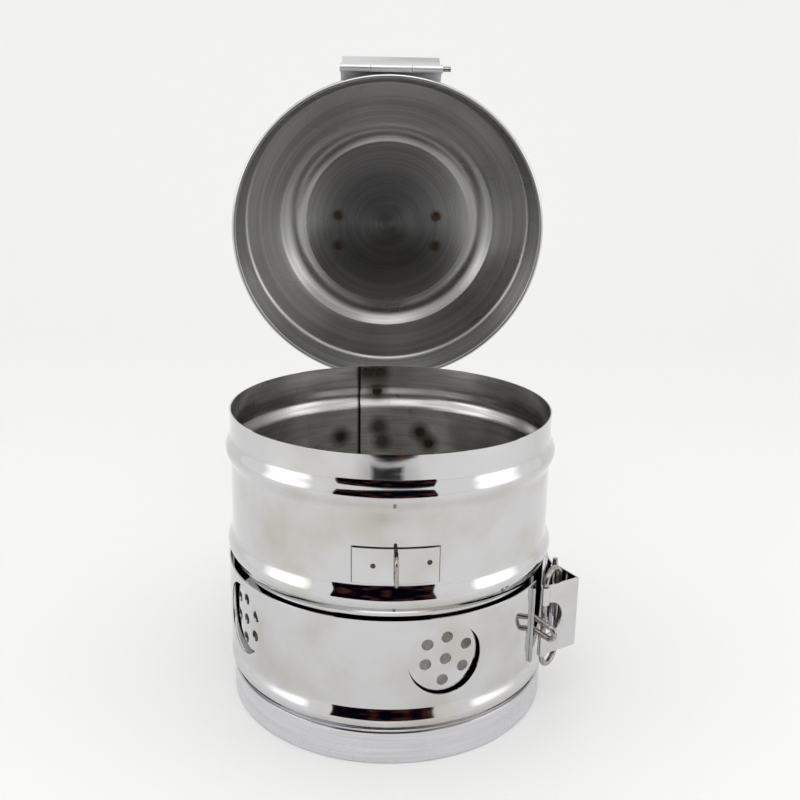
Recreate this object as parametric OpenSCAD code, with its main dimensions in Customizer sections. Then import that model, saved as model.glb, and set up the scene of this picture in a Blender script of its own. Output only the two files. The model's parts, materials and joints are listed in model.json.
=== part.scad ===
// Sterilizing drum for dressings: a spun steel drum with a hinged lid, a hasp,
// a sliding vent band with its own clasp, and a drop handle on the lid.
// Millimetres. +Z is up, -Y is the front with the hasp plate, +Y is the hinge.
// The origin is on the drum's axis, at the plane that it stands on.

/* [Drum] */
// Outer radius of the plain wall
drum_r = 75; // [74:0.5:76]
// Height of the drum's rim
drum_h = 141; // [140:0.5:142]
// Thickness of the drum and lid sheet
sheet = 0.6; // [0.5:0.1:0.8]
// How far the three beads stand out of the wall
bead_out = 2.3; // [2:0.1:2.4]
// Half of a bead's height
bead_half = 7; // [6.6:0.1:7.2]
// Heights of the three beads
bead_z = [20.6, 77.8, 123.5];
// Height of the base ring
base_h = 15; // [14:0.5:15]

/* [Vents] */
// Direction of the first vent, turned from the front towards +X
vent_az = 17; // [14:1:18]
// Height of the vents
vent_z = 48.6; // [47:0.2:50]
// Diameter of each vent hole
vent_hole_d = 5.2; // [4:0.1:6]
// Diameter of the window in the band over each vent
window_d = 33; // [32:1:36]

/* [Vent band] */
// Inner radius of the band
band_r = 76.5; // [76.2:0.1:77]
// Lower edge of the band
band_z = 28.2; // [28:0.1:29]
// Width of the band
band_w = 41; // [40:0.5:42]
// Where the band's first end stops
band_end_a = 58.2; // [58:0.1:59]
// Where the band's second end starts
band_end_b = 66; // [65:0.5:68]

/* [Lid] */
// Angle at which the lid stands open
lid_open = 80; // [70:1:85]
// Outer radius of the lid's rolled edge
lid_r = 81; // [80.5:0.1:81.5]
// Distance of the hinge pin behind the drum's axis
hinge_y = 86.4; // [86:0.1:87]
// Height of the hinge pin
hinge_z = 126.5; // [126:0.1:127]

/* [Hasp and hinge] */
// Width of the hinge and of the hasp
leaf_w = 50; // [44:1:52]
// Width of the middle knuckle of each
middle_w = 20; // [16:1:24]
// Radius of the hinge and hasp pins
pin_r = 1.25; // [1.2:0.05:1.3]
// Radial clearance of a knuckle on its pin
pin_gap = 0.06; // [0.04:0.01:0.09]
// Outer radius of the rolled knuckles
knuckle_r = 2; // [1.9:0.05:2.1]
// Angle by which the hasp is folded back over the lid
hasp_fold = 188; // [180:1:200]
// Distance of the hasp pin in front of the drum's axis
hasp_y = 83.4; // [83.2:0.1:83.6]

/* [Handle] */
// Radius of the half round of the drop handle
handle_r = 33; // [30:0.5:34]
// Radius of the handle's wire
handle_wire_r = 2; // [1.8:0.1:2.1]

/* [Clasp] */
// Radius of the wire of the link and of the band's staple
wire_r = 1.3; // [1.2:0.05:1.35]
// Distance between the two legs of the link
link_w = 12.4; // [11.5:0.1:12.6]
// Height of the link over its round ends
link_h = 50.5; // [49:0.5:51]
// Height of the clasp's folded lever
lever_h = 34.6; // [33:0.2:35]

/* [Hidden] */
$fn = 96;
// Clearance between sheets that lie on each other
lie = 0.05;
// Thickness of the leaves, straps and brackets
leaf = 0.8;
steel = "lightsteelblue";
satin = "slategray";
wire = "gainsboro";

// ---- Sheet sections -------------------------------------------------------
function unit(v) = v / norm(v);
function side(a, b) = let(d = unit(b - a)) [-d[1], d[0]];
function bisector(p, i) =
    let(n = len(p) - 1, a = side(p[max(i - 1, 0)], p[max(i, 1)]),
        b = side(p[min(i, n - 1)], p[min(i + 1, n)]), m = unit(a + b))
    m / (m * a);
function shifted(p, d) = [for (i = [0 : len(p) - 1]) p[i] + d * bisector(p, i)];
function section(p, low, high) =
    concat(shifted(p, low), [for (i = [len(p) - 1 : -1 : 0]) shifted(p, high)[i]]);

// A wall from z0 to z1 with its beads, outer face, from the bottom up
bead_steps = 10;
// The lowest bead ends just above the base ring
function bead_at(z) =
    let(down = min(bead_half, z - base_h - 0.2))
    [for (i = [0 : bead_steps]) let(u = i / bead_steps * 2 - 1)
        [drum_r + bead_out * (1 + cos(180 * u)) / 2, z + (u < 0 ? down : bead_half) * u]];
function wall(z0, z1) =
    concat([[drum_r, z0]], [for (z = bead_z) each bead_at(z)], [[drum_r, z1]]);

// The lid's inner face in radius and height above its opening, from the edge in
edge_r = 1.2;
lid_wall_top = [76.6, 13.5];
lid_corner = [74.9, 16.8];
annulus_in = [57.6, 22.3];
disc_edge = [43.7, 25.4];
ring_out = 2.8;
ring_steps = 10;
function ring_bead() =
    [for (i = [1 : ring_steps - 1]) let(u = i / ring_steps)
        annulus_in + u * (disc_edge - annulus_in) + [0, ring_out * sin(180 * u)]];
lid_face = concat(
    [[lid_r - edge_r, edge_r], [79.2, 2.6], lid_wall_top, [76.1, 15.4], lid_corner, annulus_in],
    ring_bead(), [disc_edge, [0, disc_edge[1]]]);
// Outer face of the lid's skirt, where the leaves are welded
skirt_low = [79.2 + sheet, 2.6];
skirt_high = [lid_wall_top[0] + sheet, lid_wall_top[1]];
// Height of the lid's opening when it is shut on the rim
lid_z = drum_h - lid_corner[1] + 0.35;
lid_top = lid_z + disc_edge[1] + sheet;

// ---- Frames ---------------------------------------------------------------
// Stands the lid open about the hinge pin
module opened() {
    translate([0, hinge_y, hinge_z])
        rotate([-lid_open, 0, 0])
            translate([0, -hinge_y, -hinge_z])
                children();
}

// Turns a shape that faces the front to a direction around the drum
module facing(az) {
    rotate([0, 0, az]) children();
}

module along_x(y, z, x0, x1, r) {
    translate([x0, y, z]) rotate([0, 90, 0]) cylinder(h = x1 - x0, r = r);
}

// ---- Wire -----------------------------------------------------------------
// A quarter bend: starts at the origin along +X and turns towards +Z
module bend(r, wire_r, angle = 90) {
    translate([0, 0, r])
        rotate([90, 0, 0])
            rotate([0, 0, -90])
                rotate_extrude(angle = angle)
                    translate([r, 0])
                        circle(r = wire_r, $fn = 32);
}

// A staple of wire: two legs along +X, one above the other, joined at the far end
module wire_staple(span, depth, turn, r) {
    for (flip = [0, 1])
        mirror([0, 0, flip])
            translate([0, 0, -span / 2]) {
                rotate([0, 90, 0]) cylinder(h = depth - turn, r = r, $fn = 32);
                translate([depth - turn, 0, 0]) bend(turn, r);
            }
    if (span > 2 * turn)
        translate([depth, 0, -span / 2 + turn])
            cylinder(h = span - 2 * turn, r = r, $fn = 32);
}

// ---- Drum -----------------------------------------------------------------
// Turns from the front vent to all four: the left one is nearer than a quarter turn,
// and the other three gaps are equal
vent_left_turn = 78.5;
vent_gap = (360 - vent_left_turn) / 3;
vent_turns = [0, vent_gap, 2 * vent_gap, -vent_left_turn];
// Angle and radius of the six outer holes of each vent, spaced by hand
vent_ring = [[87, 10.1], [29, 10.9], [-31, 9.5], [-97, 9.9], [-170, 9.1], [137, 11.2]];
module vent_holes() {
    for (turn = vent_turns)
        facing(vent_az + turn)
            translate([0, 0, vent_z])
                rotate([90, 0, 0]) {
                    translate([0, 0, drum_r - 8]) cylinder(h = 16, d = vent_hole_d, $fn = 32);
                    for (hole = vent_ring)
                        rotate([0, 0, hole[0]])
                            translate([hole[1], 0, drum_r - 8])
                                cylinder(h = 16, d = vent_hole_d, $fn = 32);
                }
}

shell_z = 1;
module drum_shell() {
    color(steel)
        difference() {
            rotate_extrude() polygon(section(wall(shell_z, drum_h), 0, sheet));
            vent_holes();
        }
}

seam_az = 184.5;
seam_angle = 12.6;
module seam_strip() {
    color(satin)
        facing(seam_az - seam_angle / 2 - 90)
            rotate_extrude(angle = seam_angle)
                polygon(section(wall(15, drum_h - 2), sheet + lie, 2 * sheet + lie));
}

floor_z = 5;
floor_flange = 13;
module drum_floor() {
    floor_r = drum_r - sheet - lie;
    color(satin)
        rotate_extrude()
            polygon(section([[floor_r, floor_flange], [floor_r, floor_z + 3], [floor_r - 0.9, floor_z + 0.9],
                [floor_r - 3, floor_z], [0, floor_z]], -sheet, 0));
}

base_sheet = 0.9;
base_r = drum_r + 0.15 + base_sheet;
module base_ring() {
    color("thistle")
        rotate_extrude()
            polygon(section([[drum_r - 2, 0], [base_r, 0], [base_r, base_h]], 0, base_sheet));
}

// ---- Hasp plate and staple on the drum's front ------------------------------
plate_z = 93.3;
plate_w = 36;
plate_h = 15.6;
staple_out = 8.4;
module staple_plate() {
    color(steel)
        intersection() {
            rotate_extrude()
                translate([drum_r + lie, plate_z - plate_h / 2]) square([leaf, plate_h]);
            translate([-plate_w / 2, -2 * drum_r, 0]) cube([plate_w, 2 * drum_r, drum_h]);
        }
}

staple_r = 0.9;
staple_span = 11.8;
module padlock_staple() {
    color(wire)
        translate([0, -drum_r - leaf - lie, plate_z])
            rotate([0, 0, -90])
                wire_staple(staple_span, staple_out - staple_r, 2.5, staple_r);
}

// ---- Hinges: curved pads with flat webs that carry rolled knuckles ----------
knuckle_gap = 0.3;
clear_r = knuckle_r + 0.4;
outer_w = (leaf_w - middle_w) / 2 - knuckle_gap / 2;
module outer_knuckles(y, z, r) {
    along_x(y, z, -leaf_w / 2, -leaf_w / 2 + outer_w, r);
    along_x(y, z, leaf_w / 2 - outer_w, leaf_w / 2, r);
}
module middle_knuckle(y, z, r) {
    along_x(y, z, -middle_w / 2 + knuckle_gap / 2, middle_w / 2 - knuckle_gap / 2, r);
}
// The middle knuckle's bore runs past its ends, through the web's edges too
module middle_bore(y, z) {
    along_x(y, z, -middle_w / 2 - 1, middle_w / 2 + 1, pin_r + pin_gap);
}

// A flat web from the point (y0, z0) to (y1, z1), a little narrower than its pad
web_w = leaf_w - 0.8;
module web(y0, z0, y1, z1, w = web_w) {
    run = norm([y1 - y0, z1 - z0]);
    translate([-w / 2, y0, z0])
        rotate([atan2(z1 - z0, y1 - y0), 0, 0])
            translate([0, 0, -leaf / 2]) cube([w, run, leaf]);
}

// The part of a round pad within the leaf's width, on the back (+1) or front (-1)
module pad(points, back) {
    intersection() {
        rotate_extrude() polygon(points);
        translate([-leaf_w / 2, back > 0 ? 0 : -2 * drum_r, 0])
            cube([leaf_w, 2 * drum_r, 2 * drum_h]);
    }
}

drum_pad = [95, 112.5];
module hinge_leaf_drum() {
    color(steel)
        difference() {
            union() {
                pad([[drum_r + lie, drum_pad[0]], [drum_r + lie + leaf, drum_pad[0]],
                    [drum_r + lie + leaf, drum_pad[1]], [drum_r + lie, drum_pad[1]]], 1);
                difference() {
                    web(hinge_y, hinge_z, 70, 105);
                    translate([0, 0, 80]) cylinder(h = 35, r = drum_r + lie + leaf / 2);
                    along_x(hinge_y, hinge_z, -middle_w / 2 - knuckle_gap / 2,
                        middle_w / 2 + knuckle_gap / 2, clear_r);
                }
                outer_knuckles(hinge_y, hinge_z, knuckle_r);
            }
            outer_knuckles(hinge_y, hinge_z, pin_r + pin_gap);
        }
}

module hinge_pin() {
    color(wire) along_x(hinge_y, hinge_z, -leaf_w / 2 - 1.2, leaf_w / 2 + 1.2, pin_r);
}

// ---- Lid ------------------------------------------------------------------
module lid_pan() {
    color(steel)
        opened()
            translate([0, 0, lid_z])
                rotate_extrude() {
                    polygon(section(lid_face, -sheet, 0));
                    translate([lid_r - edge_r, edge_r]) circle(r = edge_r, $fn = 32);
                }
}

// A point of the skirt's outer face at a height above the lid's opening
skirt_slope = (skirt_high[0] - skirt_low[0]) / (skirt_high[1] - skirt_low[1]);
function skirt(t) = skirt_low[0] + skirt_slope * (t - skirt_low[1]);
module skirt_pad(t0, t1, back) {
    pad([for (p = [[lie, t0], [lie + leaf, t0], [lie + leaf, t1], [lie, t1]])
        [skirt(p[1]) + p[0], lid_z + p[1]]], back);
}
module skirt_core() {
    rotate_extrude()
        polygon([[0, lid_z - 5], [skirt(-5) + lie + leaf / 2, lid_z - 5],
            [skirt(20) + lie + leaf / 2, lid_z + 20], [0, lid_z + 20]]);
}

module hinge_leaf_lid() {
    color(steel)
        opened()
            difference() {
                union() {
                    skirt_pad(7.5, 13.2, 1);
                    difference() {
                        web(hinge_y, hinge_z, 73.5, lid_z + 11.6);
                        skirt_core();
                        along_x(hinge_y, hinge_z, -leaf_w, -middle_w / 2, clear_r);
                        along_x(hinge_y, hinge_z, middle_w / 2, leaf_w, clear_r);
                    }
                    middle_knuckle(hinge_y, hinge_z, knuckle_r);
                }
                middle_bore(hinge_y, hinge_z);
            }
}

// ---- Hasp on the lid --------------------------------------------------------
hasp_t = 2;
hasp_z = lid_z + hasp_t;
module hasp_base() {
    color(steel)
        opened()
            difference() {
                union() {
                    skirt_pad(6, 12.6, -1);
                    difference() {
                        web(-hasp_y, hasp_z, -73.6, lid_z + 9.4);
                        skirt_core();
                        along_x(-hasp_y, hasp_z, -middle_w / 2 - knuckle_gap / 2,
                            middle_w / 2 + knuckle_gap / 2, clear_r);
                    }
                    outer_knuckles(-hasp_y, hasp_z, knuckle_r);
                }
                outer_knuckles(-hasp_y, hasp_z, pin_r + pin_gap);
            }
}

module hasp_pin() {
    color(wire) opened() along_x(-hasp_y, hasp_z, -leaf_w / 2, leaf_w / 2 + 4, pin_r);
}

hasp_bend = [-78.3, 115.5];
hasp_low = 79.6;
slot_w = 3.4;
slot_h = 16.4;
hasp_leaf_w = 48;
module hasp_leaf() {
    color(steel)
        opened()
            translate([0, -hasp_y, hasp_z])
                rotate([-hasp_fold, 0, 0])
                    translate([0, hasp_y, -hasp_z])
                        difference() {
                            union() {
                                difference() {
                                    web(-hasp_y, hasp_z, hasp_bend[0], hasp_bend[1], hasp_leaf_w);
                                    along_x(-hasp_y, hasp_z, -leaf_w, -middle_w / 2, clear_r);
                                    along_x(-hasp_y, hasp_z, middle_w / 2, leaf_w, clear_r);
                                }
                                translate([-hasp_leaf_w / 2, hasp_bend[0] - leaf / 2, hasp_low])
                                    cube([hasp_leaf_w, leaf, hasp_bend[1] - hasp_low + 0.2]);
                                middle_knuckle(-hasp_y, hasp_z, knuckle_r);
                            }
                            middle_bore(-hasp_y, hasp_z);
                            translate([-slot_w / 2, hasp_bend[0] - leaf, plate_z - slot_h / 2 + slot_w / 2])
                                cube([slot_w, 2 * leaf, slot_h - slot_w]);
                            for (end = [-1, 1])
                                translate([0, hasp_bend[0] + leaf, plate_z + end * (slot_h - slot_w) / 2])
                                    rotate([90, 0, 0]) cylinder(h = 2 * leaf, d = slot_w, $fn = 32);
                        }
}

// ---- Drop handle on the lid -------------------------------------------------
handle_y = 3.5;
handle_z = lid_top + handle_wire_r + 1.1;
bracket_x = 26.5;
bracket_w = 9;
foot_out = 11;
module handle_bracket(x) {
    strap_r = handle_wire_r + pin_gap + leaf;
    color(steel)
        opened()
            difference() {
                union() {
                    along_x(handle_y, handle_z, x - bracket_w / 2, x + bracket_w / 2, strap_r);
                    translate([x - bracket_w / 2, handle_y - strap_r, lid_top + lie])
                        cube([bracket_w, 2 * strap_r, handle_z - lid_top - lie]);
                    translate([x - bracket_w / 2, handle_y - foot_out, lid_top + lie])
                        cube([bracket_w, 2 * foot_out, leaf]);
                }
                along_x(handle_y, handle_z, x - bracket_w, x + bracket_w, handle_wire_r + pin_gap);
            }
}
module handle_bracket_left() { handle_bracket(-bracket_x); }
module handle_bracket_right() { handle_bracket(bracket_x); }

module drop_handle() {
    leg = 3;
    stub_end = bracket_x - bracket_w / 2 - 1;
    color(wire)
        opened()
            translate([0, handle_y, handle_z]) {
                translate([0, leg, 0])
                    rotate_extrude(angle = 180) translate([handle_r, 0]) circle(r = handle_wire_r, $fn = 32);
                for (flip = [0, 1])
                    mirror([flip, 0, 0]) {
                        translate([handle_r, 0, 0])
                            rotate([-90, 0, 0]) cylinder(h = leg, r = handle_wire_r, $fn = 32);
                        translate([handle_r, 0, 0]) sphere(r = handle_wire_r, $fn = 32);
                        translate([stub_end, 0, 0])
                            rotate([0, 90, 0]) cylinder(h = handle_r - stub_end, r = handle_wire_r, $fn = 32);
                    }
            }
}

// ---- Vent band --------------------------------------------------------------
// The band is turned a little off the vents, and its windows sit a little high
window_az = vent_az - 0.4;
window_z = vent_z + 0.7;
module vent_band() {
    color(steel)
        difference() {
            facing(band_end_b - 90)
                rotate_extrude(angle = 360 - (band_end_b - band_end_a))
                    translate([band_r, band_z]) square([sheet, band_w]);
            for (turn = vent_turns)
                facing(window_az + turn)
                    translate([0, -band_r + 8, window_z])
                        rotate([90, 0, 0]) cylinder(h = 16, d = window_d);
        }
}

band_out = band_r + sheet;
hook_az = 55.2;
hook_out = 1.4;
hook_h = 37;
module band_hook() {
    color(steel)
        facing(hook_az)
            translate([-sheet / 2, -band_out - lie - hook_out, vent_z - hook_h / 2])
                cube([sheet, hook_out, hook_h]);
}

band_staple_az = 56.9;
band_staple_span = 5.8;
band_staple_out = 12.2;
module band_staple() {
    color(wire)
        facing(band_staple_az - 90)
            translate([band_out - 0.3, 0, vent_z + 0.6])
                rotate([0, 13, -10])
                    wire_staple(band_staple_span, band_staple_out, band_staple_span / 2, wire_r);
}

// ---- Clasp: a folded lever hinged to the band, with a wire link at its edge --
// Plan positions of the lever's hinge, its fold and its link's edge
lever_hinge = 80.7 * [cos(77.8 - 90), sin(77.8 - 90)];
lever_fold = 92.2 * [cos(70 - 90), sin(70 - 90)];
lever_edge = 81 * [cos(59.5 - 90), sin(59.5 - 90)];
lever_z = 31.9;
face_dir = atan2((lever_fold - lever_edge)[1], (lever_fold - lever_edge)[0]);
eye_low = 10;
eye_high = 8.7;
hinge_mid = 10;

module post(p, z0, z1, r) {
    translate([p[0], p[1], z0]) cylinder(h = z1 - z0, r = r, $fn = 48);
}

lever_top = lever_z + lever_h;
eye_mid_low = lever_z + hinge_mid - knuckle_gap;
eye_mid_high = lever_top - hinge_mid + knuckle_gap;
module lever_hinge_leaf() {
    leaf_low = lever_z + 1;
    leaf_high = lever_top - 1;
    landing = (band_out + lie + leaf / 2) * [cos(86 - 90), sin(86 - 90)];
    run = landing - lever_hinge;
    color(steel)
        difference() {
            union() {
                facing(85 - 90)
                    rotate_extrude(angle = 9)
                        translate([band_out + lie, leaf_low]) square([leaf, leaf_high - leaf_low]);
                difference() {
                    translate([lever_hinge[0], lever_hinge[1], leaf_low + 0.4])
                        rotate([0, 0, atan2(run[1], run[0])])
                            translate([0, -leaf / 2, 0]) cube([norm(run), leaf, leaf_high - leaf_low - 0.8]);
                    post(lever_hinge, eye_mid_low, eye_mid_high, clear_r);
                }
                post(lever_hinge, leaf_low, eye_mid_low, knuckle_r);
                post(lever_hinge, eye_mid_high, leaf_high, knuckle_r);
            }
            post(lever_hinge, 0, drum_h, pin_r + pin_gap);
        }
}

module lever_pin() {
    color(wire) post(lever_hinge, lever_z - 0.4, lever_top + 2.9, pin_r);
}

module clasp_lever() {
    color(steel)
        difference() {
            union() {
                translate([0, 0, lever_z])
                    linear_extrude(lever_h)
                        polygon(section([lever_edge, lever_fold, lever_hinge], -leaf / 2, leaf / 2));
                post(lever_edge, lever_z, lever_top, wire_r + 0.08 + leaf);
                post(lever_hinge, lever_z + hinge_mid, lever_top - hinge_mid, knuckle_r);
            }
            post(lever_edge, 0, drum_h, wire_r + 0.08);
            post(lever_hinge, lever_z + hinge_mid, lever_top - hinge_mid, pin_r + pin_gap);
            post(lever_hinge, 0, lever_z + hinge_mid, clear_r);
            post(lever_hinge, lever_top - hinge_mid, drum_h, clear_r);
            // D-shaped cut-out between the two eyes of the link
            translate([lever_edge[0], lever_edge[1], lever_z])
                rotate([0, 0, face_dir]) {
                    slot_mid = (eye_low + lever_h - eye_high) / 2;
                    slot_half = (lever_h - eye_high - eye_low) / 2;
                    translate([-4, -4, eye_low]) cube([6.6, 8, 2 * slot_half]);
                    translate([2.6, 4, slot_mid])
                        rotate([90, 0, 0]) cylinder(h = 8, r = slot_half, $fn = 64);
                }
        }
}

link_dir = 50;
link_z = lever_z + lever_h / 2;
module clasp_link() {
    turn = link_w / 2;
    straight = link_h - 2 * turn - 2 * wire_r;
    color(wire)
        translate([lever_edge[0], lever_edge[1], link_z])
            rotate([0, 0, link_dir]) {
                for (x = [0, link_w])
                    translate([x, 0, -straight / 2]) cylinder(h = straight, r = wire_r, $fn = 32);
                for (flip = [0, 1])
                    mirror([0, 0, flip])
                        translate([turn, 0, straight / 2])
                            rotate([90, 0, 0])
                                rotate_extrude(angle = 180)
                                    translate([turn, 0]) circle(r = wire_r, $fn = 32);
            }
}

drum_shell();
seam_strip();
drum_floor();
base_ring();
staple_plate();
padlock_staple();
hinge_leaf_drum();
hinge_pin();
lid_pan();
hinge_leaf_lid();
hasp_base();
hasp_pin();
handle_bracket_left();
handle_bracket_right();
drop_handle();
hasp_leaf();
vent_band();
band_hook();
band_staple();
lever_hinge_leaf();
lever_pin();
clasp_lever();
clasp_link();
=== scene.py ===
"""A steel sterilizing drum for dressings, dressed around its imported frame.

Each operator of the add-on makes one piece or one group of like pieces. Sizes in the
property groups are in metres. Directions round the drum are counted from the front,
turning towards +X.
"""

import json
import math

import bpy
from mathutils import Matrix, Vector

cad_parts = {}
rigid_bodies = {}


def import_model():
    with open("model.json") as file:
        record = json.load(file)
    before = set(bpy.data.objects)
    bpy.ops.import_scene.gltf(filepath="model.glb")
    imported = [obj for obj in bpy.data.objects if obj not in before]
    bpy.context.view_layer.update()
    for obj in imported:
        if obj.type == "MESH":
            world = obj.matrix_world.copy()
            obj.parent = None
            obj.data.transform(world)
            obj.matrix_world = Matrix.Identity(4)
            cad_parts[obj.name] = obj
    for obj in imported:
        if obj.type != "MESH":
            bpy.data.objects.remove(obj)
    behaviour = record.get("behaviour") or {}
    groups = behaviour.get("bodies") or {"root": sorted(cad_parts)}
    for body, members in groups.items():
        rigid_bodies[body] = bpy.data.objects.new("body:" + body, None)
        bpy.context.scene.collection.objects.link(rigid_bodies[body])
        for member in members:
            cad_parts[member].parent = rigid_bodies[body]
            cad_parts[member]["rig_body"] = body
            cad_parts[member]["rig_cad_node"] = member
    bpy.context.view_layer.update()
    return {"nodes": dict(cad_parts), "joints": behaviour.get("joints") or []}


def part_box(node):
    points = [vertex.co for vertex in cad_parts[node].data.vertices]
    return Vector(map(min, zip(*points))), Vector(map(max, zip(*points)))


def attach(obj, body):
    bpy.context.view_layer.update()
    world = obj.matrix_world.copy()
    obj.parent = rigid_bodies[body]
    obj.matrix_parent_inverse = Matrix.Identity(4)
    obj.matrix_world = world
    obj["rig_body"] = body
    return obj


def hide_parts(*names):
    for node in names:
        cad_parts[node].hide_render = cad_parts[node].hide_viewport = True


bl_info = {
    "name": "Sterilizing drum",
    "version": (1, 0, 0),
    "blender": (4, 5, 0),
    "location": "3D View > Sidebar > Drum",
    "description": "Models a spun steel dressing drum with a hinged lid, hasp, vent band and clasp",
    "category": "Add Mesh",
}

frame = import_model()

UP = Vector((0, 0, 1))
# Points closer than this are one point
MERGE = 2e-6
# Gap between parts that are welded together, and the thickness of the staple plate
WELD_GAP = 0.00005
PLATE_SHEET = 0.0008


# ---- Sizes and colours -------------------------------------------------------
def linear(code):
    """A colour written as sRGB hex, in the linear values that the shaders take."""

    def channel(value):
        return value / 12.92 if value <= 0.04045 else ((value + 0.055) / 1.055) ** 2.4

    return tuple(channel(int(code[i : i + 2], 16) / 255) for i in (0, 2, 4)) + (1.0,)


def length(name, description, default):
    return bpy.props.FloatProperty(
        name=name, description=description, default=default, min=0.0, precision=5,
        subtype="DISTANCE", unit="LENGTH",
    )  # fmt: skip


def colour(name, description, code):
    return bpy.props.FloatVectorProperty(
        name=name, description=description, default=linear(code), size=4,
        min=0.0, max=1.0, subtype="COLOR",
    )  # fmt: skip


def joint(name):
    return next(j for j in frame["joints"] if j["name"] == name)


class DrumSizes(bpy.types.PropertyGroup):
    """Sizes of the drum and its lid."""

    wall_radius: length("Wall radius", "Outer radius of the plain wall", 0.075)
    rim_height: length("Rim height", "Height of the drum's rim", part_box("drum_shell")[1].z)
    sheet: length("Sheet", "Thickness of the drum and lid sheet", 0.0006)
    bead_out: length("Bead depth", "How far a bead stands out of the wall", 0.0023)
    bead_half: length("Bead half height", "Half of a bead's height", 0.007)
    vent_height: length("Vent height", "Height of the vents' middle holes", 0.0486)
    vent_hole: length("Vent hole", "Diameter of one vent hole", 0.0052)
    window: length("Window", "Diameter of the band's window over a vent", 0.033)
    base_radius: length("Base radius", "Outer radius of the base ring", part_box("base_ring")[1].x)
    base_height: length("Base height", "Height of the base ring", 0.015)
    lid_edge: length("Lid edge", "Radius of the lid's rolled edge", 0.0012)
    lid_opens: bpy.props.FloatProperty(
        name="Lid stands open",
        description="Angle at which the lid stands open",
        default=math.radians(80),
        subtype="ANGLE",
        unit="ROTATION",
    )


class DrumColours(bpy.types.PropertyGroup):
    """Colours of the finishes."""

    mirror: colour("Mirror", "Clean mirror-polished sheet", "CBCBCC")
    smudge: colour("Smudge", "Faint stains left on the polished sheet", "BCB8B0")
    grain: colour("Brushed sheet", "Light lines of the brushed inside", "D6D5D2")
    groove: colour("Brush lines", "Dark lines of the brushed inside", "BCBBB8")
    # painted shade: the lid's inside, most of all its middle, is darkened towards this colour in
    # place of the dark room it reflects
    shade: colour("Lid's middle", "Darker finely polished middle of the lid's inside", "3E4044")
    wire: colour("Wire", "Bright drawn wire", "B2AFAA")
    die: colour("Die marks", "Dark scratches along the drawn wire", "8C8883")
    ring: colour("Base ring", "Dull satin of the base ring", "DEDEE4")
    # this colour also paints shade in the gap round the staple plate and the dark line along the
    # lap strip's left edge
    scale: colour("Weld scale", "Dark scale of a spot weld", "2E241C")
    tint: colour("Heat tint", "Straw brown colour round a spot weld", "4E4238")
    floor: colour("Floor", "Pale studio floor", "F3F3F2")
    dark: colour("Dark side", "The unlit room that the steel reflects", "05050F")
    glow: colour("Warm side", "Dim brown things in the unlit room", "4A2A22")


def sizes():
    return bpy.context.scene.drum_sizes


def colours():
    return bpy.context.scene.drum_colours


# ---- Places ------------------------------------------------------------------
BEADS = [0.0206, 0.0778, 0.1235]
VENT_AZ = 17
VENT_LEFT_TURN = 78.5
# Turns from the front vent to all four: the left one is nearer, the other gaps are equal
VENT_TURNS = [(360 - VENT_LEFT_TURN) / 3 * k for k in range(3)] + [-VENT_LEFT_TURN]
WINDOW_AZ = VENT_AZ - 0.4
WINDOW_RISE = 0.0007
# Angle and radius of each outer hole of a vent, as they were drilled by hand
VENT_RING = [(87, 0.0101), (29, 0.0109), (-31, 0.0095),
             (-97, 0.0099), (-170, 0.0091), (137, 0.0112)]  # fmt: skip
HINGE = Vector(joint("lid_hinge")["pos_m"])
# The shut lid's edge hangs this far below the rim, less its play on the rim
LID_DROP, LID_PLAY = 0.0168, 0.00035
# Middle and width in degrees of the lap strip, and start and length of the split band
SEAM_AZ, SEAM_WIDE = 184.5, 12.6
BAND_START, BAND_ANGLE = 58.2, 352.2


def lid_turn():
    """Turns the shut lid to where it stands open, about the hinge pin."""
    turn = Matrix.Rotation(-sizes().lid_opens, 4, "X")
    return Matrix.Translation(HINGE) @ turn @ Matrix.Translation(-HINGE)


def lid_base():
    """Height of the shut lid's opening above the floor."""
    return sizes().rim_height - LID_DROP + LID_PLAY


def around(radius, azimuth, height):
    """A point at a direction round the drum, in degrees from the front towards +X."""
    a = math.radians(azimuth)
    return Vector((radius * math.sin(a), -radius * math.cos(a), height))


# ---- Work at the bench -------------------------------------------------------
def clear():
    """Leaves edit mode and selects nothing."""
    if bpy.context.mode != "OBJECT":
        bpy.ops.object.mode_set(mode="OBJECT")
    bpy.ops.object.select_all(action="DESELECT")


def take(piece, edit=True):
    """Makes a piece the only one at work."""
    clear()
    piece.select_set(True)
    bpy.context.view_layer.objects.active = piece
    if edit:
        bpy.ops.object.mode_set(mode="EDIT")
        bpy.ops.mesh.select_mode(type="VERT")
    return piece


def named(name):
    piece = bpy.context.object
    piece.name = piece.data.name = name
    return piece


def settle():
    """Puts the place and size of the piece at work into its mesh."""
    if bpy.context.mode != "OBJECT":
        bpy.ops.object.mode_set(mode="OBJECT")
    bpy.ops.object.transform_apply(location=True, rotation=True, scale=True)


def modify(piece, kind, **settings):
    """Adds a modifier to a piece and applies it."""
    take(piece, edit=False)
    bpy.ops.object.modifier_add(type=kind)
    modifier = piece.modifiers[-1]
    for key, value in settings.items():
        setattr(modifier, key, value)
    bpy.ops.object.modifier_apply(modifier=modifier.name)


def chamfer(piece, width):
    """Breaks the sharp edges of sheet or wire."""
    modify(
        piece, "BEVEL", width=width, segments=2, limit_method="ANGLE",
        angle_limit=math.radians(60),
    )  # fmt: skip


def select_faces(piece, test):
    """Selects the faces whose middle and normal pass a test, and goes to edit mode."""
    take(piece)
    bpy.ops.mesh.select_mode(type="FACE")
    bpy.ops.mesh.select_all(action="DESELECT")
    bpy.ops.object.mode_set(mode="OBJECT")
    for face in piece.data.polygons:
        face.select = test(face.center, face.normal)
    bpy.ops.object.mode_set(mode="EDIT")


def smooth(piece, angle=35):
    """Smooth shading that keeps the broad faces flat up to their bevels."""
    take(piece, edit=False)
    bpy.ops.object.shade_smooth_by_angle(angle=math.radians(angle))
    modify(piece, "WEIGHTED_NORMAL", mode="FACE_AREA", weight=50, keep_sharp=True)


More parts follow.
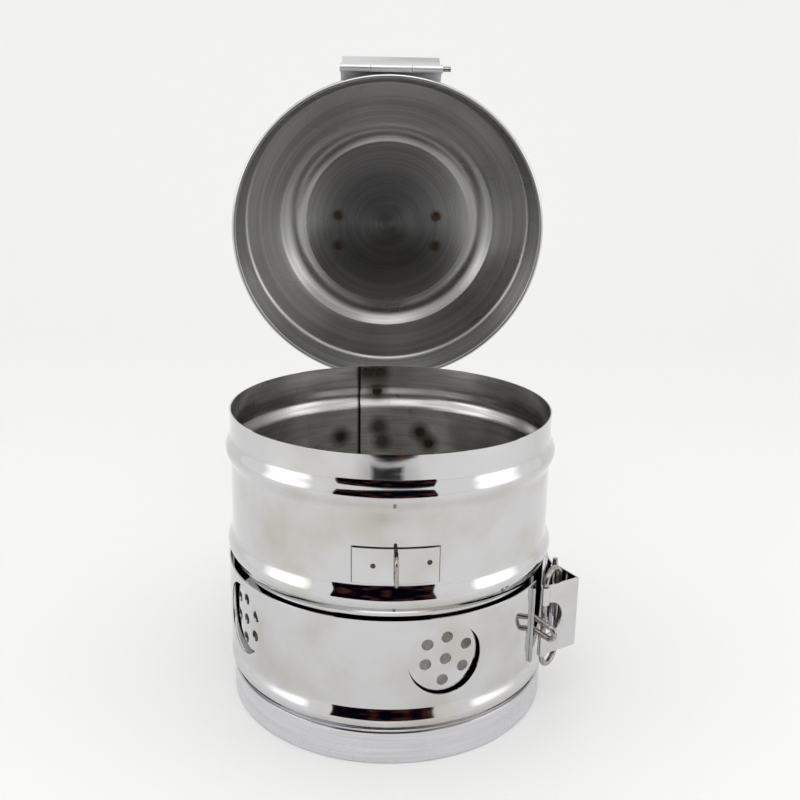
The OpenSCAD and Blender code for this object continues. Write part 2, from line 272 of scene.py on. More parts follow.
def draw_line(name, points):
    """Starts a piece as one point and draws a line from it, edge by edge."""
    clear()
    bpy.ops.mesh.primitive_plane_add(size=0.001, location=points[0])
    piece = named(name)
    settle()
    take(piece)
    bpy.ops.mesh.select_all(action="SELECT")
    bpy.ops.mesh.merge(type="CENTER")
    for here, there in zip(points, points[1:]):
        bpy.ops.mesh.extrude_region_move(TRANSFORM_OT_translate={"value": there - here})
    return piece


def spin_sheet(name, line, thickness, outward=True, start=0, angle=360, steps=240, place=None):
    """Spins a line of (radius, height) points into sheet, as on a lathe.

    The line is the face that shows most. The sheet's thickness goes behind it: towards
    the axis when outward, away from it or upwards when not.
    """
    turn = place or Matrix.Identity(4)
    points = [turn @ around(r, start, z) for r, z in line]
    piece = draw_line(name, points)
    bpy.ops.mesh.select_all(action="SELECT")
    # a spin's angle runs clockwise about its axis
    bpy.ops.mesh.spin(
        steps=steps, angle=math.radians(angle), use_auto_merge=angle == 360,
        center=turn @ Vector(), axis=(turn.to_3x3() @ UP),
    )  # fmt: skip
    bpy.ops.mesh.select_all(action="SELECT")
    bpy.ops.mesh.remove_doubles(threshold=MERGE)
    bpy.ops.mesh.normals_make_consistent(inside=False)
    bpy.ops.object.mode_set(mode="OBJECT")
    # the widest face tells which way the whole sheet looks
    back = turn.inverted()
    probe = max(piece.data.polygons, key=lambda f: f.area)
    middle, normal = back @ probe.center, back.to_3x3() @ probe.normal
    looks_out = normal.dot(Vector((middle.x, middle.y, 0)).normalized()) > 0
    if abs(normal.z) > 0.9:
        looks_out = normal.z > 0
    if looks_out != outward:
        take(piece)
        bpy.ops.mesh.select_all(action="SELECT")
        bpy.ops.mesh.flip_normals()
    modify(piece, "SOLIDIFY", thickness=thickness, offset=-1, use_even_offset=True)
    return piece


def rounded(points, reach, steps=5):
    """A line of points with each inner corner turned into a short curve."""
    line = [points[0]]
    for before, corner, after in zip(points, points[1:], points[2:]):
        c = Vector(corner)
        a, b = Vector(before) - c, Vector(after) - c
        if a.normalized().dot(b.normalized()) < -0.999:
            line.append(corner)
            continue
        cut = min(reach, 0.45 * a.length, 0.45 * b.length)
        p, q = c + a.normalized() * cut, c + b.normalized() * cut
        for i in range(steps + 1):
            t = i / steps
            line.append(tuple(p * (1 - t) ** 2 + c * 2 * t * (1 - t) + q * t**2))
    return line + [points[-1]]


def dressed(node, bevel=0.00014, angle=30):
    """A copy of a frame node with its edges broken by a fine bevel."""
    clear()
    source = frame["nodes"][node]
    source.select_set(True)
    bpy.context.view_layer.objects.active = source
    bpy.ops.object.duplicate()
    piece = named(node + "_sheet")
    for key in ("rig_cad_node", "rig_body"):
        del piece[key]
    piece.data.materials.clear()
    take(piece)
    bpy.ops.mesh.select_all(action="SELECT")
    bpy.ops.mesh.remove_doubles(threshold=MERGE)
    bpy.ops.mesh.customdata_custom_splitnormals_clear()
    bpy.ops.mesh.mark_sharp(clear=True)
    bpy.ops.mesh.dissolve_limited(angle_limit=math.radians(1.0))
    bpy.ops.object.mode_set(mode="OBJECT")
    modify(
        piece, "BEVEL", width=bevel, segments=2, limit_method="ANGLE",
        angle_limit=math.radians(angle), miter_outer="MITER_SHARP", use_clamp_overlap=True,
    )  # fmt: skip
    smooth(piece, angle)
    return piece


def mount_piece(piece, body, slot, finish, *nodes):
    """Gives a finished piece its body and its finish, and hides the nodes it stands for."""
    take(piece, edit=False)
    if not piece.data.materials:
        piece.data.materials.append(finish)
    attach(piece, body)
    if nodes:
        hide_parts(*nodes)
    return piece


# ---- Wire --------------------------------------------------------------------
class Wire:
    """Draws round wire from its cut end: a ring that is pushed straight or spun round."""

    def __init__(self, name, radius, start, heading, sides=24):
        clear()
        heading = heading.normalized()
        bpy.ops.mesh.primitive_circle_add(
            vertices=sides, radius=radius, fill_type="NOTHING", location=start,
            rotation=heading.to_track_quat("Z", "Y").to_euler(),
        )  # fmt: skip
        self.piece = named(name)
        settle()
        take(self.piece)
        bpy.ops.mesh.select_all(action="SELECT")
        self.end, self.heading = Vector(start), heading

    def straight(self, run):
        step = self.heading * run
        bpy.ops.mesh.extrude_region_move(TRANSFORM_OT_translate={"value": step})
        self.end += step

    def bend(self, radius, angle, towards, steps=12):
        """Turns the wire's heading by an angle in degrees towards a side direction."""
        side = (towards - towards.project(self.heading)).normalized()
        centre = self.end + side * radius
        axis = self.heading.cross(side)
        bpy.ops.mesh.spin(steps=steps, angle=-math.radians(angle), center=centre, axis=axis)
        turn = Matrix.Rotation(math.radians(angle), 3, axis)
        self.end = centre + turn @ (self.end - centre)
        self.heading = turn @ self.heading

    def cut(self):
        """Closes both ends with a small chamfer."""
        bpy.ops.mesh.select_all(action="SELECT")
        bpy.ops.mesh.remove_doubles(threshold=MERGE)
        bpy.ops.mesh.select_all(action="DESELECT")
        bpy.ops.mesh.select_non_manifold(extend=False)
        bpy.ops.mesh.edge_face_add()
        bpy.ops.mesh.select_all(action="SELECT")
        bpy.ops.mesh.normals_make_consistent(inside=False)
        clear()
        chamfer(self.piece, 0.0002)
        smooth(self.piece, 50)
        return self.piece


# ---- Finishes ----------------------------------------------------------------
# Radius at which the lathe's lines have their stated length
LATHE_RADIUS = 0.075
# Radius plus height between which the painted shade on the lid's inside fades from its middle
# strength to its outer strength
LID_SHADE_FADE = (0.175, 0.2)
# Distance from a weld's middle at which its heat tint starts to fade
TINT_EDGE = 0.0024
# How dark the tint is and where it ends: the lid's welds were wiped and kept a narrow edge
LID_TINT, WALL_TINT = (0.6, 0.0042), (0.9, 0.0075)


def add(tree, kind, inputs=None, out=0, **settings):
    """Adds one node with its settings. An input is a socket to link, or a fixed value."""
    node = tree.nodes.new("ShaderNode" + kind)
    for key, value in settings.items():
        setattr(node, key, value)
    for key, value in (inputs or {}).items():
        if isinstance(value, bpy.types.NodeSocket):
            tree.links.new(value, node.inputs[key])
        else:
            node.inputs[key].default_value = value
    return node.outputs[out] if node.outputs else None


def new_finish(name):
    """A finish and its empty node tree, or no tree where the finish is made already."""
    finish = bpy.data.materials.get(name)
    if finish:
        return finish, None
    finish = bpy.data.materials.new(name)
    finish.use_nodes = True
    finish.node_tree.nodes.clear()
    return finish, finish.node_tree


def lathe_place(tree, lid):
    """Round coordinates: the direction from the axis, and radius plus height in metres."""
    where = add(tree, "TexCoord", out="Object")
    if lid:
        back = lid_turn().inverted()
        place = {"Vector": where, "Location": back.translation, "Rotation": back.to_euler()}
        where = add(tree, "Mapping", place)
    flat = add(tree, "VectorMath", {0: where, 1: (1, 1, 0)}, operation="MULTIPLY")
    radius = add(tree, "VectorMath", {0: flat}, "Value", operation="LENGTH")
    toward = add(tree, "VectorMath", {0: flat}, operation="NORMALIZE")
    height = add(tree, "SeparateXYZ", {0: where}, "Z")
    along = add(tree, "Math", {0: radius, 1: height}, operation="ADD")
    return where, toward, along


def lathe_lines(tree, toward, along, line, reach, detail=3.0):
    """Noise drawn out round the axis into lines of a given spacing and length in metres."""
    turns = {0: toward, "Scale": LATHE_RADIUS / reach}
    spread = add(tree, "VectorMath", turns, operation="SCALE")
    across = add(tree, "Math", {0: along, 1: 1 / line}, operation="MULTIPLY")
    rise = add(tree, "CombineXYZ", {"Z": across})
    vector = add(tree, "VectorMath", {0: spread, 1: rise}, operation="ADD")
    noise = {"Vector": vector, "Scale": 1.0, "Detail": detail, "Roughness": 0.6}
    return add(tree, "TexNoise", noise)


def plate_gap_shade(tree, where):
    """A mask of painted shade in the gap, half a millimetre wide, round the staple plate's outline.
    """
    low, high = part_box("staple_plate")
    side = add(tree, "SeparateXYZ", {0: where}).node.outputs
    reach = []
    for axis, a, b in (("X", low.x, high.x), ("Z", low.z, high.z)):
        off = add(tree, "Math", {0: side[axis], 1: (a + b) / 2}, operation="SUBTRACT")
        off = add(tree, "Math", {0: off}, operation="ABSOLUTE")
        reach.append(add(tree, "Math", {0: off, 1: (b - a) / 2}, operation="SUBTRACT"))
    far = add(tree, "Math", {0: reach[0], 1: reach[1]}, operation="MAXIMUM")
    # the back of the wall has no plate
    front = add(tree, "MapRange", {0: side["Y"], 1: -0.05, 2: -0.049, 3: 1, 4: 0})
    gap = add(tree, "MapRange", {0: far, 1: 0.00015, 2: 0.0006, 3: 0.85, 4: 0})
    return add(tree, "Math", {0: gap, 1: front}, operation="MULTIPLY")


def mirror_steel(wall=False):
    """Stainless sheet, buffed to a mirror on the lathe.

    The eye sees sharp reflections that waver a little where the sheet isn't flat, faint
    turning lines and a haze of wiped stains.
    """
    name = "mirror_polished_stainless_" + ("wall" if wall else "sheet")
    finish, tree = new_finish(name)
    if tree:
        c = colours()
        where, toward, along = lathe_place(tree, lid=False)
        # buffing lines 0.4 mm apart are drawn at 0.8 mm, so that they show
        lines = lathe_lines(tree, toward, along, 0.0008, 0.012)
        haze = add(tree, "TexNoise", {"Vector": where, "Scale": 1 / 0.028, "Detail": 4.0})
        sheet = add(tree, "TexNoise", {"Vector": where, "Scale": 1 / 0.032, "Detail": 1.0})
        waver = add(tree, "Bump", {"Strength": 1.0, "Distance": 0.00035, "Height": sheet})
        buffed = {"Strength": 1.0, "Distance": 0.0000016, "Height": lines, "Normal": waver}
        stain = add(tree, "MapRange", {0: haze, 1: 0.45, 2: 0.75, 3: 0, 4: 1})
        base = add(tree, "Mix", {0: stain, 6: c.mirror, 7: c.smudge}, 2, data_type="RGBA")
        if wall:
            # painted shade in the gap round the staple plate, in the weld scale colour
            gap_shade = plate_gap_shade(tree, where)
            base = add(tree, "Mix", {0: gap_shade, 6: base, 7: c.scale}, 2, data_type="RGBA")
        shader = add(tree, "BsdfPrincipled", {
            "Metallic": 1.0, "Base Color": base, "Normal": add(tree, "Bump", buffed),
            "Roughness": add(tree, "MapRange", {0: haze, 1: 0.3, 2: 0.7, 3: 0.03, 4: 0.09}),
        })  # fmt: skip
        add(tree, "OutputMaterial", {0: shader})
    return finish


def seam_dark_line(tree, where):
    """A mask of a dark line along the left edge of the lap strip, inside at the back."""
    side = add(tree, "SeparateXYZ", {0: where}).node.outputs
    right = add(tree, "MapRange", {0: side["X"], 1: -0.0142, 2: -0.0134, 3: 1, 4: 0})
    left = add(tree, "MapRange", {0: side["X"], 1: -0.0162, 2: -0.0149, 3: 0, 4: 1})
    back = add(tree, "MapRange", {0: side["Y"], 1: 0.05, 2: 0.051, 3: 0, 4: 1})
    dark_line = add(tree, "Math", {0: right, 1: left}, operation="MULTIPLY")
    return add(tree, "Math", {0: dark_line, 1: back}, operation="MULTIPLY")


def brushed_steel(
    name, lid, welds, line=0.0007, rough=(0.22, 0.32), reach=0.03, painted_shade=None, seam=False
):
    """Stainless sheet as the lathe's abrasive left it, with the straw and brown of spot welds.

    The eye sees fine rings, and reflections drawn out across them.
    """
    finish, tree = new_finish(name)
    if tree:
        c = colours()
        where, toward, along = lathe_place(tree, lid)
        lines = lathe_lines(tree, toward, along, line, reach, 1.0)
        coarse = lathe_lines(tree, toward, along, line * 6, reach, 1.0)
        patches = add(tree, "TexNoise", {"Vector": where, "Scale": 1 / 0.04, "Detail": 2.0})
        tone = add(tree, "Math", {0: lines, 1: coarse}, operation="MULTIPLY")
        bare = add(tree, "MapRange", {0: tone, 1: 0.15, 2: 0.35, 3: 0, 4: 1})
        base = add(tree, "Mix", {0: bare, 6: c.groove, 7: c.grain}, 2, data_type="RGBA")
        if painted_shade:
            # painted shade: the whole inside is mixed towards the dark lid colour, most in the
            # middle, in place of the dark room it reflects
            fade = {0: along, 1: LID_SHADE_FADE[0], 2: LID_SHADE_FADE[1], 3: painted_shade[1], 4: painted_shade[0]}
            middle = add(tree, "MapRange", fade)
            base = add(tree, "Mix", {0: middle, 6: base, 7: c.shade}, 2, data_type="RGBA")
        depth, end = LID_TINT if lid else WALL_TINT
        for spot in welds:
            source = add(tree, "TexCoord", out="Object")
            far = add(tree, "VectorMath", {0: source, 1: spot}, "Value", operation="DISTANCE")
            burnt = add(tree, "MapRange", {0: far, 1: TINT_EDGE, 2: end, 3: depth, 4: 0})
            base = add(tree, "Mix", {0: burnt, 6: base, 7: c.tint}, 2, data_type="RGBA")
        if seam:
            # a dark line along the lap strip's left edge, in the weld scale colour
            dark_line = seam_dark_line(tree, where)
            base = add(tree, "Mix", {0: dark_line, 6: base, 7: c.scale}, 2, data_type="RGBA")
        turned = add(tree, "VectorMath", {0: toward, 1: UP}, operation="CROSS_PRODUCT")
        if lid:
            place = {"Vector": turned, "Rotation": lid_turn().to_euler()}
            turned = add(tree, "Mapping", place, vector_type="VECTOR")
        tangent = add(tree, "VectorTransform", {0: turned}, vector_type="VECTOR",
                      convert_from="OBJECT", convert_to="WORLD")  # fmt: skip
        waver = add(tree, "Bump", {"Strength": 1.0, "Distance": 0.00006, "Height": patches})
        rings = {"Strength": 1.0, "Distance": line * 0.003, "Height": lines, "Normal": waver}
        wear = {0: patches, 1: 0.3, 2: 0.7, 3: rough[0], 4: rough[1]}
        shader = add(tree, "BsdfPrincipled", {
            "Metallic": 1.0, "Anisotropic": 0.6, "Anisotropic Rotation": 0.25,
            "Base Color": base, "Roughness": add(tree, "MapRange", wear),
            "Normal": add(tree, "Bump", rings), "Tangent": tangent,
        })  # fmt: skip
        add(tree, "OutputMaterial", {0: shader})
    return finish


def wire_steel():
    """Bright drawn stainless wire: long scratches from the die over a soft shine."""
    finish, tree = new_finish("bright_drawn_stainless_wire")
    if tree:
        c = colours()
        where = add(tree, "TexCoord", out="Object")
        marks = add(tree, "TexNoise", {"Vector": where, "Scale": 1 / 0.0012, "Detail": 5.0})
        wear = add(tree, "TexNoise", {"Vector": where, "Scale": 1 / 0.012, "Detail": 2.0})
        clean = add(tree, "MapRange", {0: marks, 1: 0.3, 2: 0.7, 3: 0, 4: 1})
        scratched = {"Strength": 1.0, "Distance": 0.00002, "Height": marks}
        shader = add(tree, "BsdfPrincipled", {
            "Metallic": 1.0, "Normal": add(tree, "Bump", scratched),
            "Base Color": add(tree, "Mix", {0: clean, 6: c.die, 7: c.wire}, 2, data_type="RGBA"),
            "Roughness": add(tree, "MapRange", {0: wear, 1: 0.3, 2: 0.7, 3: 0.14, 4: 0.28}),
        })  # fmt: skip
        add(tree, "OutputMaterial", {0: shader})
    return finish


def satin_leaf():
    """Flat stainless strip, sanded along its length: soft pale shine and straight lines."""
    finish, tree = new_finish("sanded_stainless_leaf")
    if tree:
        c = colours()
        where = add(tree, "TexCoord", out="Object")
        # lines 0.4 mm apart and some 17 mm long
        drawn = add(tree, "Mapping", {"Vector": where, "Scale": (60, 2400, 2400)})
        lines = add(tree, "TexNoise", {"Vector": drawn, "Scale": 1.0, "Detail": 2.0})
        haze = add(tree, "TexNoise", {"Vector": where, "Scale": 1 / 0.015, "Detail": 3.0})
        ridge = add(tree, "MapRange", {0: lines, 1: 0.3, 2: 0.7, 3: 0, 4: 1})
        sanded = {"Strength": 1.0, "Distance": 0.000005, "Height": lines}
        shader = add(tree, "BsdfPrincipled", {
            "Metallic": 1.0, "Normal": add(tree, "Bump", sanded),
            "Base Color": add(tree, "Mix", {0: ridge, 6: c.grain, 7: c.ring}, 2, data_type="RGBA"),
            "Roughness": add(tree, "MapRange", {0: haze, 1: 0.3, 2: 0.7, 3: 0.3, 4: 0.42}),
        })  # fmt: skip
        add(tree, "OutputMaterial", {0: shader})
    return finish


def ring_steel():
    """Stainless strip left dull by a fine abrasive: a pale lavender grey with turning lines."""
    finish, tree = new_finish("dull_satin_stainless_strip")
    if tree:
        c = colours()
        where, toward, along = lathe_place(tree, lid=False)
        lines = lathe_lines(tree, toward, along, 0.0004, 0.03, 1.0)
        haze = add(tree, "TexNoise", {"Vector": where, "Scale": 1 / 0.02, "Detail": 3.0})
        tone = add(tree, "MapRange", {0: lines, 1: 0.3, 2: 0.7, 3: 0.5, 4: 1})
        turned = {"Strength": 1.0, "Distance": 0.0000006, "Height": lines}
        shader = add(tree, "BsdfPrincipled", {
            "Metallic": 1.0, "Normal": add(tree, "Bump", turned),
            "Base Color": add(tree, "Mix", {0: tone, 6: c.smudge, 7: c.ring}, 2, data_type="RGBA"),
            "Roughness": add(tree, "MapRange", {0: haze, 1: 0.3, 2: 0.7, 3: 0.22, 4: 0.32}),
        })  # fmt: skip
        add(tree, "OutputMaterial", {0: shader})
    return finish


def weld_scale():
    """A spot weld's print: dark oxide, crusty, with bare bright metal where it was wiped."""
    finish, tree = new_finish("burnt_spot_weld")
    if tree:
        c = colours()
        where = add(tree, "TexCoord", out="Object")
        crust = add(tree, "TexNoise", {"Vector": where, "Scale": 1 / 0.0009, "Detail": 4.0})
        wiped = add(tree, "MapRange", {0: crust, 1: 0.4, 2: 0.65, 3: 0, 4: 1})
        rough = {"Strength": 1.0, "Distance": 0.00008, "Height": crust}
        shader = add(tree, "BsdfPrincipled", {
            "Base Color": add(tree, "Mix", {0: wiped, 6: c.scale, 7: c.tint}, 2, data_type="RGBA"),
            "Metallic": add(tree, "MapRange", {0: crust, 1: 0.3, 2: 0.7, 3: 0.55, 4: 1.0}),
            "Roughness": add(tree, "MapRange", {0: crust, 1: 0.3, 2: 0.7, 3: 0.25, 4: 0.55}),
            "Normal": add(tree, "Bump", rough),
        })  # fmt: skip
        add(tree, "OutputMaterial", {0: shader})
    return finish


# ---- Spot welds --------------------------------------------------------------
# Direction from the front in degrees and height in metres, on the drum's inner wall
WALL_WELDS = [(199.5, 0.102), (183.1, 0.107), (181.5, 0.098), (165.3, 0.104), (161.4, 0.098),
              (188.0, 0.138), (182.6, 0.138), (183.8, 0.127)]  # fmt: skip
# How far a weld's print stands off its sheet, and how much smaller the plate's welds are
WELD_LIFT = 0.00002
PLATE_WELD_SCALE = 0.45
# Across and front to back from the lid's middle, under the handle's brackets
DISC_WELDS = [(-0.0265, -0.0045), (0.0265, -0.0045), (-0.0265, 0.012), (0.0265, 0.012)]
# Direction and height of the two small welds on the staple plate
PLATE_WELDS = [(-7.1, 0.0934), (10.6, 0.0946)]


def wall_weld_points():
    inside = sizes().wall_radius - sizes().sheet
    return [around(inside, az, z) for az, z in WALL_WELDS]


def disc_weld_points():
    face = lid_base() + LID_DISC[1]
    return [lid_turn() @ Vector((x, y, face)) for x, y in DISC_WELDS]


# ---- Drum --------------------------------------------------------------------
def bead_line(height, steps=20):
    """One bead's outer face from its foot up. The lowest bead ends just above the base ring."""
    s = sizes()
    down = min(s.bead_half, height - s.base_height - 0.0002)
    line = []
    for i in range(steps + 1):
        u = i / steps * 2 - 1
        rise = (down if u < 0 else s.bead_half) * u
        line.append((s.wall_radius + s.bead_out * (1 + math.cos(math.pi * u)) / 2, height + rise))
    return line


def wall_line(low, high, shift=0.0):
    """The wall's outer face from the bottom up, moved by a distance towards the axis."""
    s = sizes()
    line = [(s.wall_radius, low)]
    for beads in [bead_line(height) for height in BEADS] + [[(s.wall_radius, high)]]:
        # the plain wall gets rows about 3 mm apart
        plain = beads[0][1] - line[-1][1]
        rows = max(1, round(plain / 0.003))
        base = line[-1][1]
        line += [(s.wall_radius, base + plain * i / rows) for i in range(1, rows)] + beads
    return [(r - shift, z) for r, z in line]


def dent(piece, point, reach, depth):
    """Pushes the wall in round a point, with a smooth fall to nothing at its reach."""
    select_faces(piece, lambda c, n: (c - point).length < 0.0025)
    bpy.ops.transform.translate(
        value=Vector((-point.x, -point.y, 0)).normalized() * depth,
        use_proportional_edit=True, proportional_edit_falloff="SMOOTH", proportional_size=reach,
    )  # fmt: skip
    clear()


def paint_inside(piece, finish, test):
    """Gives the faces that pass a test a second finish."""
    piece.data.materials.append(finish)
    select_faces(piece, test)
    piece.active_material_index = len(piece.data.materials) - 1
    bpy.ops.object.material_slot_assign()
    clear()


def cut_round(piece, discs, depth=0.008):
    """Cuts round holes that point at the axis, each given by direction, offsets and size."""
    cutters = []
    for azimuth, across, height, diameter, sides in discs:
        turn = Matrix.Rotation(math.radians(azimuth), 3, "Z")
        clear()
        bpy.ops.mesh.primitive_cylinder_add(
            vertices=sides, radius=diameter / 2, depth=depth,
            location=turn @ Vector((across, -sizes().wall_radius, height)),
            rotation=(turn @ Matrix.Rotation(math.pi / 2, 3, "X")).to_euler(),
        )  # fmt: skip
        settle()
        cutters.append(bpy.context.object)
    clear()
    for cutter in cutters:
        cutter.select_set(True)
    bpy.context.view_layer.objects.active = cutters[0]
    if len(cutters) > 1:
        bpy.ops.object.join()
    tool = bpy.context.object
    modify(piece, "BOOLEAN", object=tool, operation="DIFFERENCE", solver="EXACT")
    bpy.data.objects.remove(tool)


class DRUM_OT_shell(bpy.types.Operator):
    """Spins the drum's beaded wall and drills its four vents"""

    bl_idname = "drum.shell"
    bl_label = "Drum wall"

    def execute(self, context):
        s = sizes()
        shell = spin_sheet("drum_wall", wall_line(0.001, s.rim_height), s.sheet)
        holes = []
        for turn in VENT_TURNS:
            az = VENT_AZ + turn
            holes.append((az, 0, s.vent_height, s.vent_hole, 32))
            for angle, radius in VENT_RING:
                a = math.radians(angle)
                height = s.vent_height + radius * math.sin(a)
                holes.append((az, radius * math.cos(a), height, s.vent_hole, 32))
        cut_round(shell, holes)
        # the plate's welds drew the wall in along its upper edge
        for azimuth in (-11, -4, 3, 9):
            dent(shell, around(s.wall_radius, azimuth, 0.1005), 0.007, 0.00007)
        chamfer(shell, 0.00012)
        smooth(shell)
        shell.data.materials.append(mirror_steel(wall=True))
        inner = brushed_steel("brushed_stainless_wall", False, wall_weld_points(), seam=True)
        inside = s.wall_radius - s.sheet * 0.5

        def faces_in(c, n):
            return n.x * c.x + n.y * c.y < 0 and math.hypot(c.x, c.y) < inside + s.bead_out

        paint_inside(shell, inner, faces_in)
        mount_piece(shell, "drum", "polished_steel", None, "drum_shell")
        return {"FINISHED"}


class DRUM_OT_seam(bpy.types.Operator):
    """Bends the lap strip that covers the wall's seam inside"""

    bl_idname = "drum.seam"
    bl_label = "Seam strip"

    def execute(self, context):
        s = sizes()
        line = wall_line(0.015, s.rim_height - 0.002, s.sheet + WELD_GAP)
        strip = spin_sheet("lap_seam_strip", line, s.sheet,
                           start=SEAM_AZ + SEAM_WIDE / 2, angle=SEAM_WIDE, steps=10)  # fmt: skip
        smooth(strip)
        finish = brushed_steel("brushed_stainless_strip", False, wall_weld_points(), line=0.0009)
        mount_piece(strip, "drum", "satin_steel", finish, "seam_strip")
        return {"FINISHED"}


class DRUM_OT_floor(bpy.types.Operator):
    """Spins the drum's floor with its turned-up flange"""

    bl_idname = "drum.floor"
    bl_label = "Floor"

    def execute(self, context):
        s = sizes()
        r = s.wall_radius - s.sheet - WELD_GAP
        flange_top, face = 0.013, 0.0056
        line = rounded([(r - s.sheet, flange_top), (r - s.sheet, face), (0, face)], 0.0022, 8)
        floor = spin_sheet("drum_bottom", line, s.sheet, outward=True, steps=180)
        smooth(floor)
        finish = brushed_steel("brushed_stainless_bottom", False, [], line=0.0009)
        mount_piece(floor, "drum", "satin_steel", finish, "drum_floor")
        return {"FINISHED"}


class DRUM_OT_base(bpy.types.Operator):
    """Spins the dull base ring that the drum stands on"""

    bl_idname = "drum.base"
    bl_label = "Base ring"

    def execute(self, context):
        s = sizes()
        strip = 0.0009
        corners = [(s.wall_radius - 0.002, 0), (s.base_radius, 0), (s.base_radius, s.base_height)]
        ring = spin_sheet("base_strip", rounded(corners, strip, 4), strip)
        chamfer(ring, 0.0002)
        smooth(ring)
        mount_piece(ring, "drum", "base_steel", ring_steel(), "base_ring")
        return {"FINISHED"}


class DRUM_OT_plate(bpy.types.Operator):
    """Dresses the plate on the drum's front and draws its wire staple"""

    bl_idname = "drum.plate"
    bl_label = "Staple plate"

    def execute(self, context):
        plate = dressed("staple_plate")
        mount_piece(plate, "drum", "polished_steel", mirror_steel(), "staple_plate")
        low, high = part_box("padlock_staple")
        radius, turn = 0.0009, 0.0025
        out = Vector((0, -1, 0))
        staple = Wire("padlock_wire", radius, Vector((0, high.y, low.z + radius)), out)
        staple.straight(high.y - low.y - radius - turn)
        staple.bend(turn, 90, UP)
        staple.straight(high.z - low.z - 2 * radius - 2 * turn)
        staple.bend(turn, 90, -out)
        staple.straight(high.y - low.y - radius - turn)
        mount_piece(staple.cut(), "drum", "wire_steel", wire_steel(), "padlock_staple")
        return {"FINISHED"}


class DRUM_OT_hinge(bpy.types.Operator):
    """Dresses the hinge: a leaf on the drum, a leaf on the lid and their pin"""

    bl_idname = "drum.hinge"
    bl_label = "Hinge"

    def execute(self, context):
        for node, body in (("hinge_leaf_drum", "drum"), ("hinge_leaf_lid", "lid")):
            mount_piece(dressed(node), body, "polished_steel", mirror_steel(), node)
        pin = dressed("hinge_pin", 0.0003, 50)
        mount_piece(pin, "drum", "wire_steel", wire_steel(), "hinge_pin")
        return {"FINISHED"}


# ---- Lid ---------------------------------------------------------------------
# Radius and height of the skirt's upper end and of the disc's edge, and the ring between them
LID_SLOPE_END, LID_DISC = (0.0576, 0.0223), (0.0437, 0.0254)
LID_RING_RISE = 0.0028


def lid_line():
    """The lid's inner face in radius and height above its opening, from the rolled edge in."""
    edge = sizes().lid_edge
    (slope_r, slope_z), (disc_r, disc_z) = LID_SLOPE_END, LID_DISC
    roll = []
    for i in range(25):
        a = math.radians(420 - 260 * i / 24)
        roll.append((0.0798 + edge * math.cos(a), edge + edge * math.sin(a)))
    corners = [roll[-1], (0.0792, 0.0026), (0.0766, 0.0135), (0.0761, 0.0154),
               (0.0749, 0.0168), LID_SLOPE_END]  # fmt: skip
    wall = rounded(corners, 0.0012, 4)
    ring = []
    for i in range(1, 20):
        u = i / 20
        rise = LID_RING_RISE * math.sin(math.pi * u)
        ring.append((slope_r + u * (disc_r - slope_r), slope_z + u * (disc_z - slope_z) + rise))
    disc = [LID_DISC, (0.03, disc_z), (0.015, disc_z), (0, disc_z)]
    return roll[:-1] + wall + ring + disc


class DRUM_OT_lid(bpy.types.Operator):
    """Spins the lid with its rolled edge, step, ring and disc"""

    bl_idname = "drum.lid"
    bl_label = "Lid"

    def execute(self, context):
        s = sizes()
        turn = lid_turn()
        line = [(r, lid_base() + z) for r, z in lid_line()]
        pan = spin_sheet("lid_dish", line, s.sheet, outward=False, place=turn)
        smooth(pan, 50)
        # painted shade on the lid's inside: mixed 0.42 at the rim and 0.8 in the middle towards the
        # dark lid colour
        inner = brushed_steel(
            "brushed_stainless_lid", True, disc_weld_points(), 0.0005,
            rough=(0.25, 0.34), reach=0.14, painted_shade=(0.42, 0.8),
        )  # fmt: skip
        pan.data.materials.append(mirror_steel())
        back = turn.inverted()
        flat = back.to_3x3()

        def faces_in(c, n):
            c, n = back @ c, flat @ n
            return n.x * c.x + n.y * c.y + n.z * 0.03 < 0

        paint_inside(pan, inner, faces_in)
        mount_piece(pan, "lid", "polished_steel", None, "lid_pan")
        return {"FINISHED"}


class DRUM_OT_hasp(bpy.types.Operator):
    """Dresses the hasp: its leaf on the lid, its pin and the slotted plate"""

    bl_idname = "drum.hasp"
    bl_label = "Hasp"

    def execute(self, context):
        for node, body in (("hasp_base", "lid"), ("hasp_leaf", "hasp")):
            mount_piece(dressed(node), body, "polished_steel", satin_leaf(), node)
        mount_piece(dressed("hasp_pin", 0.0003, 50), "lid", "wire_steel", wire_steel(), "hasp_pin")
        return {"FINISHED"}


class DRUM_OT_handle(bpy.types.Operator):
    """Draws the drop handle's wire and dresses its two brackets"""

    bl_idname = "drum.handle"
    bl_label = "Drop handle"

    def execute(self, context):
        for node in ("handle_bracket_left", "handle_bracket_right"):
            mount_piece(dressed(node), "lid", "polished_steel", mirror_steel(), node)
        wire, span, stub, corner = 0.002, 0.033, 0.021, 0.003
        # a hair of straight wire between the corner and the bow
        leg = 1e-6
        turn = lid_turn()
        flat = turn.to_3x3()
        pivot = turn.inverted() @ Vector(joint("handle_fold")["pos_m"])
        start = turn @ (pivot + Vector((-stub, 0, 0)))
        handle = Wire("drop_handle_wire", wire, start, flat @ Vector((-1, 0, 0)), 32)
        handle.straight(span - stub - corner)
        handle.bend(corner, 90, flat @ Vector((0, 1, 0)), 8)
        handle.straight(leg)
        handle.bend(span, 180, flat @ Vector((1, 0, 0)), 64)
        handle.straight(leg)
        handle.bend(corner, 90, flat @ Vector((-1, 0, 0)), 8)
        handle.straight(span - stub - corner)
        mount_piece(handle.cut(), "handle", "wire_steel", wire_steel(), "drop_handle")
        return {"FINISHED"}


